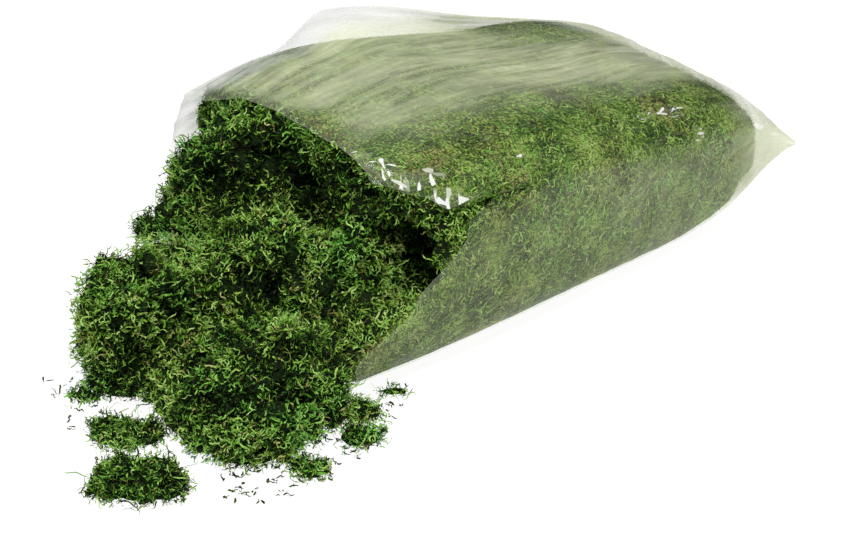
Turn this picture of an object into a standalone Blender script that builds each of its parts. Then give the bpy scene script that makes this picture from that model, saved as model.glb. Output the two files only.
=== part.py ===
"""Dried moss in a clear film bag that lies on its side with its mouth cut open, and the heap that fell out of it.

Metres, +Z up, standing on the plane z = 0. The bag lies along +X, with its mouth at the low end and its seam at
the high end. The origin is on the bag's flat underside, a little way in from the mouth. Moss clumps are lumpy
balls; where two would share a space, one of them is cut back to leave a gap.
"""

import math

import bmesh
import bpy
from mathutils import Matrix, Vector, noise

# Film: the real one is about 0.06 mm thick, and this wall stands in for it.
FILM_WALL = 0.0008
GAP = 0.0018

# Outside of the filled bag: x, near side, far side, top, underside. Near is -Y. Under 0 is cut flat at 0.
STATIONS = (
    (-0.150, -0.140, 0.146, 0.158, -0.006),
    (-0.060, -0.148, 0.154, 0.170, -0.006),
    (0.000, -0.150, 0.160, 0.174, -0.006),
    (0.060, -0.148, 0.154, 0.171, -0.006),
    (0.120, -0.144, 0.140, 0.162, -0.006),
    (0.180, -0.140, 0.129, 0.151, -0.006),
    (0.240, -0.136, 0.124, 0.143, -0.006),
    (0.280, -0.133, 0.120, 0.132, 0.001),
    (0.310, -0.130, 0.118, 0.119, 0.016),
    (0.335, -0.128, 0.117, 0.101, 0.036),
    (0.357, -0.133, 0.120, 0.0685, 0.0625),
)
SECTION_POWER = 3.6
FILM_RINGS = 12

# Loose fold of film that stands above the far top edge
FOLD_RISE_X = (0.008, 0.070)
FOLD_FALL_X = (0.090, 0.270)
FOLD_ANGLE = 52.0
FOLD_SPREAD = 22.0
FOLD_HEIGHT = 0.027

# Cut edge of the film: angle round the section in degrees (0 far side, 90 top, 180 near side, 270 floor)
# and where along the bag the film starts there. The jump at 158.5 is the slit along the near top edge.
CUT_EDGE = (
    (0, -0.078), (20, -0.070), (40, -0.080), (60, -0.090), (69, -0.086), (78, -0.074), (90, -0.067),
    (106, -0.068), (120, -0.069), (132, -0.061), (140, -0.049), (145, -0.042), (152, -0.034), (155, -0.026),
    (158.5, 0.050), (163, -0.018), (171, -0.029), (175, -0.041), (178, -0.055), (180, -0.072), (182, -0.083),
    (186, -0.104), (190, -0.121), (210, -0.120), (219, -0.114), (230, -0.108), (270, -0.100), (320, -0.100),
    (360, -0.078),
)

# Angles of the film's columns of points. They stand closer together at the slit, and lean with it.
FILM_ANGLES = (
    *(11.25 * step for step in range(13)), 145.0, 155.0, 158.5, 163.0, 171.0,
    *(180.0 + 11.25 * step for step in range(16)),
)
SLIT_ANGLE = 158.5
SLIT_X = (-0.018, 0.050)
SLIT_LEAN = 13.5
SLIT_SPREAD = 18.0

# Packed moss: its face in the mouth, how far it reaches where the film is slit, its end by the seam, and how
# uneven it is
PACK_AROUND = 30
PACK_RINGS = 10
CAP_RINGS = 4
FACE_FAR_X = -0.054
FACE_NEAR_X = -0.004
FACE_LUMP = 0.012
SLIT_FILL_X = -0.046
BESIDE_FILM = ((-0.070, -0.108), (0.050, 0.096), 0.138)
UNDER_TOP = ((0.045, 0.104), 0.058)
PACK_END_X = 0.320
PACK_NOSE = 0.012
PACK_LUMP = 0.0022
END_SLACK = 0.002
END_LIFT = 0.009

# Hollow in the mouth, behind the clump that leans on the near side: two balls that meet, centre and radii
HOLLOWS = (
    ((-0.052, -0.114, 0.096), (0.048, 0.031, 0.030)),
    ((-0.020, -0.094, 0.070), (0.044, 0.034, 0.037)),
)

# Clumps: name, centre, radii (along, across, up), lump strength, cuts on a side. Each is turned by the same
# angle, and a clump is cut back where it meets one that comes before it.
CLUMP_TURN = -40.0
CLUMPS = (
    ("front_clump", (-0.195, -0.113, 0.036), (0.069, 0.066, 0.052), 0.16, 5),
    ("mouth_clump", (-0.056, -0.054, 0.056), (0.038, 0.038, 0.058), 0.17, 5),
    ("left_clump", (-0.214, 0.006, 0.040), (0.053, 0.057, 0.066), 0.16, 5),
    ("middle_clump", (-0.112, -0.018, 0.054), (0.060, 0.066, 0.056), 0.17, 5),
    ("upper_clump", (-0.064, 0.052, 0.106), (0.068, 0.044, 0.056), 0.17, 5),
    ("side_clump", (-0.088, 0.112, 0.060), (0.034, 0.040, 0.060), 0.17, 4),
    ("heap_base", (-0.184, -0.044, 0.014), (0.066, 0.074, 0.036), 0.12, 3),
    ("corner_clump", (-0.305, -0.124, 0.012), (0.040, 0.021, 0.024), 0.20, 4),
    ("front_left_tuft", (-0.277, -0.059, 0.008), (0.031, 0.017, 0.015), 0.26, 3),
    ("left_tuft", (-0.264, 0.003, 0.005), (0.025, 0.011, 0.008), 0.26, 2),
    ("side_tuft", (-0.129, 0.122, 0.049), (0.016, 0.015, 0.015), 0.26, 3),
    ("bag_side_tuft", (-0.085, -0.137, 0.002), (0.016, 0.005, 0.004), 0.26, 2),
    ("right_tuft", (-0.125, -0.150, 0.008), (0.016, 0.010, 0.011), 0.26, 2),
    ("right_front_tuft", (-0.145, -0.172, 0.006), (0.018, 0.010, 0.011), 0.26, 3),
    ("front_tuft", (-0.199, -0.182, 0.006), (0.017, 0.010, 0.013), 0.26, 3),
    ("back_clump", (-0.158, 0.056, 0.036), (0.032, 0.036, 0.044), 0.20, 3),
)
LUMP_COUNT = 2.2
LUMP_FINE = 2.4
CLUMP_SPACE = 0.0012
INSIDE_FROM_X = -0.125
FILM_CLEARANCE = 0.007
RESTS_ON_FILM = ("mouth_clump", "middle_clump", "upper_clump", "side_clump")

MATERIALS = {
    "film": ((0.86, 0.90, 0.86, 0.35), 0.18),
    "moss": ((0.10, 0.19, 0.035, 1.0), 0.95),
    "packed_moss": ((0.13, 0.23, 0.06, 1.0), 0.95),
}


def clear_scene():
    for obj in list(bpy.data.objects):
        bpy.data.objects.remove(obj)


def material(name):
    colour, roughness = MATERIALS[name]
    made = bpy.data.materials.new(name)
    made.use_nodes = True
    shader = made.node_tree.nodes["Principled BSDF"]
    shader.inputs["Base Color"].default_value = colour
    shader.inputs["Alpha"].default_value = colour[3]
    shader.inputs["Roughness"].default_value = roughness
    shader.inputs["Metallic"].default_value = 0.0
    return made


def smooth(low, high, value):
    """0 below low, 1 above high, and an even S between."""
    share = min(1.0, max(0.0, (value - low) / (high - low)))
    return share * share * (3 - 2 * share)


def signed_power(value, power):
    return math.copysign(abs(value) ** power, value)


def straight_curve(points, value):
    for (x0, y0), (x1, y1) in zip(points, points[1:]):
        if value <= x1:
            return y0 + (y1 - y0) * max(0.0, value - x0) / (x1 - x0)
    return points[-1][1]


def station(x):
    """Near side, far side, top and underside of the bag at x, on a smooth curve through the stations."""
    x = min(max(x, STATIONS[0][0]), STATIONS[-1][0])
    index = next(i for i in range(1, len(STATIONS)) if x <= STATIONS[i][0])
    before, low = STATIONS[max(0, index - 2)], STATIONS[index - 1]
    high, after = STATIONS[index], STATIONS[min(len(STATIONS) - 1, index + 1)]
    width = high[0] - low[0]
    t = (x - low[0]) / width
    values = []
    for column in range(1, 5):
        slope_low = (high[column] - before[column]) / (high[0] - before[0]) * width
        slope_high = (after[column] - low[column]) / (after[0] - low[0]) * width
        values.append(
            (2 * t ** 3 - 3 * t ** 2 + 1) * low[column] + (t ** 3 - 2 * t ** 2 + t) * slope_low
            + (3 * t ** 2 - 2 * t ** 3) * high[column] + (t ** 3 - t ** 2) * slope_high
        )
    return values


def bag_section(x, degrees, inset=0.0):
    """Where the film's outside is at x along the bag, at an angle round it; inset moves the point inwards."""
    near, far, top, under = station(x)
    angle = math.radians(degrees)
    half_width = (far - near) / 2 - inset
    half_height = max((top - under) / 2 - inset, 0.0002)
    y = (near + far) / 2 + half_width * signed_power(math.cos(angle), 2 / SECTION_POWER)
    z = (top + under) / 2 + half_height * signed_power(math.sin(angle), 2 / SECTION_POWER)
    return Vector((x, y, max(z, inset)))


def film_point(x, column):
    """The film's outside at x, in a column of points that lies at this angle in the mouth."""
    lean = SLIT_LEAN * min(1.0, max(0.0, (x - SLIT_X[0]) / (SLIT_X[1] - SLIT_X[0])))
    degrees = column - lean * math.exp(-(((column - SLIT_ANGLE) / SLIT_SPREAD) ** 2))
    point = bag_section(x, degrees)
    along = smooth(*FOLD_RISE_X, x) * (1 - smooth(*FOLD_FALL_X, x))
    away = (degrees - FOLD_ANGLE) / FOLD_SPREAD
    outward = Vector((0, math.cos(math.radians(FOLD_ANGLE)), math.sin(math.radians(FOLD_ANGLE))))
    return point + outward * FOLD_HEIGHT * along * math.exp(-away * away)


def inside_film(point, inset):
    """True for a point inside the bag's section at its x, that far in from the sides and top."""
    near, far, top, under = station(point.x)
    above = point.z - (top + under) / 2
    half_width = (far - near) / 2 - inset
    half_height = (top - under) / 2 - (inset if above > 0 else 0.0)
    across = abs((point.y - (near + far) / 2) / half_width) ** SECTION_POWER
    return across + abs(above / half_height) ** SECTION_POWER < 1


def sphere_along_x(rings, around):
    """A ball whose poles lie on X. Each vertex is read back as a ring and a segment."""
    mesh = bmesh.new()
    bmesh.ops.create_uvsphere(mesh, u_segments=around, v_segments=rings, radius=1.0)
    bmesh.ops.rotate(mesh, verts=mesh.verts, cent=(0, 0, 0), matrix=Matrix.Rotation(math.radians(-90), 3, "Y"))
    return mesh


def ring_and_degrees(vertex, rings):
    """The ring number from the -X pole, and the angle round X from +Y towards +Z, in degrees."""
    x, y, z = vertex.co
    ring = round(math.acos(max(-1.0, min(1.0, -x))) / math.pi * rings)
    return ring, math.degrees(math.atan2(z, y)) % 360


def keep_largest(mesh):
    """Removes every piece but the one with the most faces. Two faces that share an edge are in one piece."""
    unseen = set(mesh.faces)
    pieces = []
    while unseen:
        piece, front = [], [unseen.pop()]
        while front:
            face = front.pop()
            piece.append(face)
            joined = [edge for edge in face.edges if len(edge.link_faces) == 2]
            for other in {other for edge in joined for other in edge.link_faces}:
                if other in unseen:
                    unseen.remove(other)
                    front.append(other)
        pieces.append(piece)
    pieces.sort(key=len)
    for piece in pieces[:-1]:
        bmesh.ops.delete(mesh, geom=piece, context="FACES")


def finish_mesh(mesh, name, slot, collection):
    bmesh.ops.remove_doubles(mesh, verts=mesh.verts, dist=0.00001)
    bmesh.ops.triangulate(mesh, faces=mesh.faces)
    bmesh.ops.recalc_face_normals(mesh, faces=mesh.faces)
    data = bpy.data.meshes.new(name)
    mesh.to_mesh(data)
    mesh.free()
    data.materials.append(slot)
    obj = bpy.data.objects.new(name, data)
    collection.objects.link(obj)
    return obj


def make_bag(slot, collection):
    """The film: a ball drawn out to the bag's shape, open where it is cut, with the wall inside that surface."""
    rings = FILM_RINGS + 2
    columns = len(FILM_ANGLES)
    mesh = sphere_along_x(rings, columns)
    opened = [v for v in mesh.verts if ring_and_degrees(v, rings)[0] == 0]
    seam_x = STATIONS[-1][0]
    near, far, top, under = station(seam_x)
    for vertex in mesh.verts:
        ring, degrees = ring_and_degrees(vertex, rings)
        if ring == rings:
            vertex.co = Vector((seam_x, (near + far) / 2, (top + under) / 2))
            continue
        share = max(0, ring - 1) / FILM_RINGS
        column = FILM_ANGLES[round(degrees / 360 * columns) % columns]
        start = straight_curve(CUT_EDGE, column)
        vertex.co = film_point(start + (seam_x - start) * math.sin(share * math.pi / 2) ** 0.9, column)
    bmesh.ops.delete(mesh, geom=opened, context="VERTS")
    bag = finish_mesh(mesh, "plastic_bag", slot, collection)
    wall = bag.modifiers.new("film wall", "SOLIDIFY")
    wall.thickness = FILM_WALL
    wall.offset = -1.0
    return bag


def face_x(y, z):
    """Where along the bag the packed moss starts at this place in the mouth, before the clumps dent it."""
    near, far, top, under = station(FACE_FAR_X)
    share = (far - y) / (far - near)
    (side_start, side_end), (low, high), length = BESIDE_FILM
    beside = (1 - smooth(side_end, side_start, y)) * (1 - smooth(low, high, z)) * length
    under_top = smooth(*UNDER_TOP[0], z) * UNDER_TOP[1] * share
    lump = FACE_LUMP * noise.noise(Vector((y, z, 0.3)) * 38)
    return FACE_FAR_X + (FACE_NEAR_X - FACE_FAR_X) * share - beside - under_top + lump


def pack_section(x, degrees, inset):
    """The moss inside the film at x. Towards the seam the film hangs loose under it."""
    loose = smooth(0.18, PACK_END_X, x)
    point = bag_section(x, degrees, inset + END_SLACK * loose)
    point.z += END_LIFT * loose * max(0.0, -math.sin(math.radians(degrees)))
    return point


def make_packed_moss(slot, collection):
    """The moss that is still in the bag. It fills the film up to its cut edge."""
    rings = 2 * CAP_RINGS + PACK_RINGS
    inset = FILM_WALL + GAP
    mesh = sphere_along_x(rings, PACK_AROUND)
    near, far, top, under = station(FACE_FAR_X)
    face_centre = Vector((0, (near + far) / 2, (top + under) / 2))
    near, far, top, under = station(PACK_END_X)
    end_centre = Vector((PACK_END_X + PACK_NOSE, (near + far) / 2, (top + under) / 2))
    for vertex in mesh.verts:
        ring, degrees = ring_and_degrees(vertex, rings)
        rough = bag_section(FACE_FAR_X, degrees, inset)
        limit = min(straight_curve(CUT_EDGE, degrees) - FACE_LUMP, SLIT_FILL_X)
        start = max(face_x(rough.y, rough.z), limit)
        rim = pack_section(start, degrees, inset)
        if ring <= CAP_RINGS:
            point = face_centre.lerp(rim, ring / CAP_RINGS)
            edge_share = (ring / CAP_RINGS) ** 3
            point.x = face_x(point.y, point.z) * (1 - edge_share) + rim.x * edge_share
        elif ring <= CAP_RINGS + PACK_RINGS:
            share = math.sin((ring - CAP_RINGS) / PACK_RINGS * math.pi / 2) ** 0.95
            x = rim.x + (PACK_END_X - rim.x) * share
            lump = PACK_LUMP * (1 + noise.noise(Vector((x * 30, degrees / 24, 1.7))))
            point = pack_section(x, degrees, inset + lump * math.sin(share * math.pi))
        else:
            share = (ring - CAP_RINGS - PACK_RINGS) / CAP_RINGS
            point = pack_section(PACK_END_X, degrees, inset).lerp(end_centre, share)
            point.x = PACK_END_X + PACK_NOSE * math.sin(share * math.pi / 2)
        vertex.co = point
    return finish_mesh(mesh, "packed_moss", slot, collection)


def cube_ball(cuts):
    """A ball of even squares, of radius 1."""
    mesh = bmesh.new()
    bmesh.ops.create_cube(mesh, size=2.0)
    bmesh.ops.subdivide_edges(mesh, edges=mesh.edges, cuts=cuts, use_grid_fill=True)
    for vertex in mesh.verts:
        vertex.co = Vector([math.tan(part * math.pi / 4) for part in vertex.co]).normalized()
    return mesh


def clump_radius(index, spec, direction):
    """How far a lumpy ball goes in a direction, where the film and the floor don't stop it."""
    radii, lumps = spec[2], spec[3]
    local = Matrix.Rotation(-math.radians(CLUMP_TURN), 3, "Z") @ direction
    ellipsoid = 1 / math.sqrt(sum((part / radius) ** 2 for part, radius in zip(local, radii)))
    seed = Vector((index * 7.3, index * 3.1, index * 5.7))
    coarse = noise.noise(local * LUMP_COUNT + seed)
    fine = noise.noise(local * LUMP_COUNT * LUMP_FINE + seed)
    return ellipsoid * (1 + lumps * (1.5 * coarse + 0.75 * fine))


def make_clump(index, spec, extra, slot, collection):
    """A lumpy ball that stays inside the film and above the floor. extra makes it that much larger all round."""
    name, centre, radii, lumps, cuts = spec
    centre = Vector(centre)
    rest = FILM_WALL + 2 * CLUMP_SPACE if name in RESTS_ON_FILM else 0.0
    mesh = cube_ball(cuts)
    for vertex in mesh.verts:
        direction = vertex.co.copy()
        radius = clump_radius(index, spec, direction)
        if inside_film(centre, 0.004) and centre.x > INSIDE_FROM_X:
            for _ in range(40):
                point = centre + direction * radius
                if point.x < INSIDE_FROM_X or inside_film(point, FILM_CLEARANCE):
                    break
                radius *= 0.97
        if direction.z < 0:
            radius = min(radius, (centre.z - rest) / -direction.z)
        vertex.co = centre + direction * (radius + extra)
    return finish_mesh(mesh, name, slot, collection)


def make_hollow(spec, collection):
    centre, radii = (Vector(part) for part in spec)
    mesh = cube_ball(3)
    for vertex in mesh.verts:
        lump = 1 + 0.25 * noise.noise(vertex.co * 2.1)
        vertex.co = centre + Vector([part * radius * lump for part, radius in zip(vertex.co, radii)])
    return finish_mesh(mesh, "hollow", None, collection)


def cut_back(obj, cutters):
    """Takes the cutters out of the object and keeps what is left in one piece."""
    for cutter in cutters:
        cut = obj.modifiers.new("cut back", "BOOLEAN")
        cut.operation = "DIFFERENCE"
        cut.solver = "MANIFOLD"
        cut.object = cutter
    bpy.context.view_layer.update()
    graph = bpy.context.evaluated_depsgraph_get()
    data = bpy.data.meshes.new_from_object(obj.evaluated_get(graph))
    obj.modifiers.clear()
    mesh = bmesh.new()
    mesh.from_mesh(data)
    bmesh.ops.triangulate(mesh, faces=mesh.faces)
    keep_largest(mesh)
    mesh.to_mesh(obj.data)
    mesh.free()


def bounds_meet(first, second):
    def corners(obj):
        points = [vertex.co for vertex in obj.data.vertices]
        return [min(p[i] for p in points) for i in range(3)], [max(p[i] for p in points) for i in range(3)]
    low_a, high_a = corners(first)
    low_b, high_b = corners(second)
    return all(low_a[i] < high_b[i] and low_b[i] < high_a[i] for i in range(3))


def main():
    clear_scene()
    parts = bpy.data.collections.new("dried_moss_in_bag")
    bpy.context.scene.collection.children.link(parts)
    slots = {name: material(name) for name in MATERIALS}
    make_bag(slots["film"], parts)
    pack = make_packed_moss(slots["packed_moss"], parts)
    clumps = [make_clump(index, spec, 0.0, slots["moss"], parts) for index, spec in enumerate(CLUMPS)]
    cutters = [make_clump(index, spec, CLUMP_SPACE, slots["moss"], parts) for index, spec in enumerate(CLUMPS)]
    for index, clump in enumerate(clumps):
        before = [cutter for cutter in cutters[:index] if bounds_meet(clump, cutter)]
        if before:
            cut_back(clump, before)
    hollows = [make_hollow(spec, parts) for spec in HOLLOWS]
    cut_back(pack, [cutter for cutter in cutters if bounds_meet(pack, cutter)] + hollows)
    for helper in cutters + hollows:
        bpy.data.objects.remove(helper)


main()
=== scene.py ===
"""Looks for dried moss in a clear film bag that lies cut open on its side, and for the heap at its mouth.

Each moss solid is replaced by a core, which is that solid drawn in and roughened, and by curled fronds rooted
on the core that reach about to the solid's surface. The film follows the bag's solid on a finer grid with
wrinkles. Everything is in metres in the frame's own axes: the bag lies along +X, and its near side is -Y.
"""

import math
from collections import namedtuple

import bpy
import numpy as np
from mathutils import Matrix, Vector
from mathutils.bvhtree import BVHTree

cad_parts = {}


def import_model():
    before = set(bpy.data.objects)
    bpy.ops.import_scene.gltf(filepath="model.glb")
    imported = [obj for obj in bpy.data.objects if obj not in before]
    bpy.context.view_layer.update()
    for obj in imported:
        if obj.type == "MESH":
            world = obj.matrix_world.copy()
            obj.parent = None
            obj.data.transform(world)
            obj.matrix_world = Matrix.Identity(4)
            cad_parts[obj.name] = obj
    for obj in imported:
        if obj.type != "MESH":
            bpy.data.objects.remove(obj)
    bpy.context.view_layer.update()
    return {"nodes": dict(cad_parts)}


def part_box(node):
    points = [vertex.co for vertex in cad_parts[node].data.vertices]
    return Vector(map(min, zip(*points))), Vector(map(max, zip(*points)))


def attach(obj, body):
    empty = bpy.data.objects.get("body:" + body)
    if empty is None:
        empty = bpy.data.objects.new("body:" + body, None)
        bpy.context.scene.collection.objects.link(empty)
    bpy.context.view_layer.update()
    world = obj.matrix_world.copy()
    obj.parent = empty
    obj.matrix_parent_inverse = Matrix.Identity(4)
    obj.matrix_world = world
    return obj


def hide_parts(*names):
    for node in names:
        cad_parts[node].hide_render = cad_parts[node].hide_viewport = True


# Camera: where it looks from, and a point of the floor with its place in the photograph's frame
FRAME_PX = (851, 536)
FOCAL_PX = 2500.0
SENSOR_MM = 36.0
ELEVATION = 30.0
AZIMUTH = -40.0
DISTANCE = 1.9
ANCHOR = (-0.10, -0.11, 0.0)
ANCHOR_PX = (355, 386)

# Stage: a wide floor, the even light from all round, and soft lights by name, place, size and power
FLOOR_HALF = 12.0
FLOOR_LEVEL = -0.0002
FLOOR_GREY = 0.17
FLOOR_GLOW = 0.94
SURROUND = 0.28
LIGHT_TARGET = (-0.05, -0.02, 0.06)
LIGHTS = (("key", (-0.9, -1.0, 1.9), 0.5, 43.0), ("top", (0.1, 0.5, 2.2), 0.7, 15.0))

# Bag: x, near side, far side, top, underside, as the solids have it
STATIONS = np.array((
    (-0.150, -0.140, 0.146, 0.158, -0.006),
    (-0.060, -0.148, 0.154, 0.170, -0.006),
    (0.000, -0.150, 0.160, 0.174, -0.006),
    (0.060, -0.148, 0.154, 0.171, -0.006),
    (0.120, -0.144, 0.140, 0.162, -0.006),
    (0.180, -0.140, 0.129, 0.151, -0.006),
    (0.240, -0.136, 0.124, 0.143, -0.006),
    (0.280, -0.133, 0.120, 0.132, 0.001),
    (0.310, -0.130, 0.118, 0.119, 0.016),
    (0.335, -0.128, 0.117, 0.101, 0.036),
    (0.357, -0.133, 0.120, 0.0685, 0.0625),
))
BAG_MIDDLE_Z = 0.08
SECTION_POWER = 3.6
SEAM_X = STATIONS[-1, 0]

# The loose fold over the far top edge: where it rises and falls along the bag, its angle and height
FOLD_RISE_X = (0.008, 0.070)
FOLD_FALL_X = (0.090, 0.270)
FOLD_ANGLE = 52.0
FOLD_SPREAD = 22.0
FOLD_HEIGHT = 0.027

# Cut edge of the film: angle round the section (0 far side, 90 top, 180 near side, 270 floor) and x
CUT_EDGE = (
    (0, -0.078), (20, -0.070), (40, -0.080), (60, -0.090), (69, -0.086), (78, -0.074), (90, -0.067),
    (106, -0.068), (120, -0.069), (132, -0.061), (140, -0.049), (145, -0.042), (152, -0.034), (155, -0.026),
    (158.5, 0.050), (163, -0.018), (171, -0.029), (175, -0.041), (178, -0.055), (180, -0.072), (182, -0.083),
    (186, -0.104), (190, -0.121), (210, -0.120), (219, -0.114), (230, -0.108), (270, -0.100), (320, -0.100),
    (360, -0.078),
)
SLIT_ANGLE = 158.5
SLIT_X = (-0.018, 0.050)
SLIT_LEAN = 13.5
SLIT_SPREAD = 18.0

# Film: its grid, how far it stands out from the solid, the heights of its wrinkles, and the middle and spread
# in degrees of the bands with streaks and with pleats
FILM_ALONG = 190
FILM_AROUND = 170
FILM_LIFT = 0.0005
STREAK_HEIGHT = 0.0006
PLEAT_HEIGHT = 0.0005
SWELL_HEIGHT = 0.0006
CRUMPLE_HEIGHT = 0.0022
LIP_RAGGED = 0.0045
LIP_WAVE = 0.0028
LIP_REACH = 0.010
FILM_LEAST_Z = 0.0001
TOP_BAND = (85.0, 48.0)
SIDE_BAND = (185.0, 32.0)

# Crumpled places on the film, crumpled in the mesh and with painted glints: x, angle, reach along and reach
# round in degrees
CRUMPLES = (
    (-0.038, 131, 0.018, 5), (-0.058, 118, 0.012, 7), (-0.063, 107, 0.008, 3), (-0.032, 145, 0.014, 4),
    (-0.022, 151, 0.010, 3), (0.050, 150, 0.006, 2), (0.194, 138, 0.008, 4), (0.222, 140, 0.014, 5),
    (0.224, 151, 0.008, 3), (0.240, 168, 0.006, 3),
)

# Haze of the film: the least of it, what lies over the top, partly haze and partly painted sheen of the light
# on the top, with the angles where it starts and is full, and patches on the near side and at the seam with
# the x and the angles where they start and are full
EVERYWHERE = (-1000.0, -999.0)
HAZE_LEAST = 0.004
HAZE_AND_SHEEN_OVER_TOP = ((0.38, (124, 94)), (0.18, (90, 62)))
HAZE_PATCHES = (
    (0.090, (0.080, 0.170), (166, 178)), (0.140, (0.272, 0.298), (136, 156)), (0.065, EVERYWHERE, (167, 175)),
    (0.460, (0.295, 0.330), EVERYWHERE), (0.100, (0.337, 0.345), EVERYWHERE),
)

# A clearer strip that slants over the top: its angle at one x, how far it turns in a metre, and its spread
STRIP_ANGLE = 65.0
STRIP_AT_X = 0.10
STRIP_TURN = 90.0
STRIP_SPREAD = 10.0

# Size of the even mesh that each core is made from, and the clumps and tufts
CLUMP_VOXEL = 0.0050
TUFT_VOXEL = 0.0030
PACK_VOXEL = 0.0055
CLUMPS = (
    "front_clump", "mouth_clump", "left_clump", "middle_clump", "upper_clump", "side_clump", "heap_base",
    "back_clump",
)
TUFTS = (
    "corner_clump", "front_left_tuft", "left_tuft", "side_tuft",
    "bag_side_tuft", "right_tuft", "right_front_tuft", "front_tuft",
)

# Fronds grow in sprigs: how many in one, how far their directions spread, and the step between their roots
SPRIG = 3
SPRIG_SPREAD = 0.60
SPRIG_STEP = 0.0014

# Kinds of frond: how many on a square metre of core, their lengths and how far these are stretched, share of
# the full width, rings along each, fronds in a sprig, and how much higher than the others they may start
FROND_LENGTH = (0.0055, 0.0125)
STRAND_LENGTH = (0.010, 0.022)
FROND_WIDTH = 0.00106
WIDTH_RANGE = (0.6, 1.3)
FROND_RINGS = 5
Kind = namedtuple("Kind", "per_m2 lengths stretch slimness rings sprig raised")
CLUMP_KINDS = (
    Kind(260000, FROND_LENGTH, 1.0, 1.0, FROND_RINGS, SPRIG, 0.0),
    Kind(1800, STRAND_LENGTH, 1.0, 0.75, 7, 1, 0.0035),
)
TUFT_KINDS = (
    Kind(380000, FROND_LENGTH, 0.9, 1.0, FROND_RINGS, SPRIG, 0.0),
    Kind(10800, STRAND_LENGTH, 1.3, 0.75, 7, 1, 0.0015),
)
PACK_LOOSE_PER_M2 = 250000
PACK_FLAT_FRONDS = 19000
PACK_FLAT_RINGS = 3
PACK_FLAT_WIDTH = 0.00092

# How fronds lie and bend: how steeply they rise, how far they curl, how far the bending swings to and fro in
# radians, how uneven a path is, and how far faces and axes turn from the surface
LIFT = (0.12, 0.24)
CURL = (2.0, 7.0)
FLAT_CURL = (1.0, 5.0)
BEND = 1.5
SWING = 4.6
CRINKLE = 0.42
FACE_SPREAD = 0.55
AXIS_SPREAD = 0.75

# How high over the core fronds start at most, and how high a point of a frond counts as fully in the light,
# for the painted light and shade of its tone
FROND_LEVELS = 0.0030
LIT_HEIGHT = 0.0046
LIT_RANGE = (-0.2, 1.5)

# How deep the heap's cores are drawn in: between tufts, in small hollows, and by broad lumps
TUFT_HOLLOW = 0.0165
SMALL_HOLLOW = 0.0035
BROAD_HOLLOW = 0.013
LEAST_DEPTH = 0.0024
FULL_DEPTH_SIZE = 0.045

# The tone of a frond, from 0, dark, to 1, light: its middle, its spread by frond, sprig and place, the
# painted shade it takes deep down and in creases, and how tones over the bright limit are eased
TONE = 0.65
TONE_BY_FROND = 0.23
TONE_BY_SPRIG = 0.18
TONE_BY_PLACE = 0.14
PAINTED_SHADE_DEEP = 0.58
PAINTED_SHADE_IN_CREASES = 0.30
BRIGHT_LIMIT = 0.76
BRIGHT_EASED = 0.35

# Least heights over the floor, insets from the film, and how far a neighbour is looked for
FROND_LEAST_Z = 0.0003
CORE_LEAST_Z = 0.0004
PACK_LEAST_Z = 0.0012
CLUMP_INSET = 0.0016
PACK_INSET = 0.0003
NEAR_REACH = 0.02

# Dark hollows between tufts of the heap, where the cores are drawn in and the fronds get painted shade by
# depth: place on the surface, and radius
DARK_HOLLOWS = (
    (-0.075, 0.034, 0.154, 0.017), (-0.072, 0.025, 0.143, 0.021), (-0.070, 0.013, 0.134, 0.024),
    (-0.068, 0.006, 0.123, 0.023), (-0.057, -0.019, 0.106, 0.034), (-0.064, -0.054, 0.151, 0.020),
    (-0.128, 0.009, 0.107, 0.021), (-0.131, -0.012, 0.108, 0.022), (-0.111, 0.056, 0.122, 0.018),
    (-0.110, 0.052, 0.104, 0.020), (-0.115, -0.048, 0.108, 0.018), (-0.105, -0.055, 0.103, 0.018),
    (-0.164, -0.026, 0.090, 0.020), (-0.155, -0.058, 0.086, 0.020), (-0.143, -0.064, 0.078, 0.020),
    (-0.239, -0.077, 0.063, 0.028), (-0.262, -0.127, 0.055, 0.027), (-0.204, -0.168, 0.063, 0.021),
    (-0.099, -0.076, 0.070, 0.019), (-0.161, -0.137, 0.071, 0.017), (-0.140, -0.149, 0.061, 0.017),
    (-0.063, -0.075, 0.133, 0.018), (-0.049, -0.086, 0.109, 0.020), (-0.146, 0.014, 0.082, 0.018),
    (-0.043, 0.007, 0.086, 0.028),
)

# Which of them is behind the film's lip, where the moss in the bag shows, and the dark pit in the mouth,
# whose loose fronds get painted shade
MOUTH_HOLLOW = 4
PIT = (-0.028, -0.100, 0.078, 0.040)

# Crumbs on the floor: middle of a patch, how far it spreads along and across, and how many
CRUMB_PATCHES = (
    (-0.242, -0.160, 0.022, 0.014, 26), (-0.202, -0.188, 0.016, 0.006, 10),
    (-0.108, -0.148, 0.016, 0.014, 22), (-0.150, -0.178, 0.014, 0.008, 10),
    (-0.271, 0.012, 0.010, 0.022, 12), (-0.196, 0.060, 0.006, 0.010, 5),
    (-0.286, -0.020, 0.006, 0.010, 6), (-0.178, -0.182, 0.012, 0.006, 8),
)
CRUMB_LENGTH = (0.002, 0.009)
CRUMB_WIDTH = (0.0008, 0.0018)
CRUMB_RINGS = 3

# Curled twigs on the floor: x, y, heading in radians and length
TWIGS = ((-0.3215, -0.126, 3.9, 0.030), (-0.272, 0.030, 2.9, 0.024), (-0.290, -0.050, 3.2, 0.022))
TWIG_POINTS = 15
TWIG_WIDTH = 0.0014
TWIG_Z = 0.003

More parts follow.
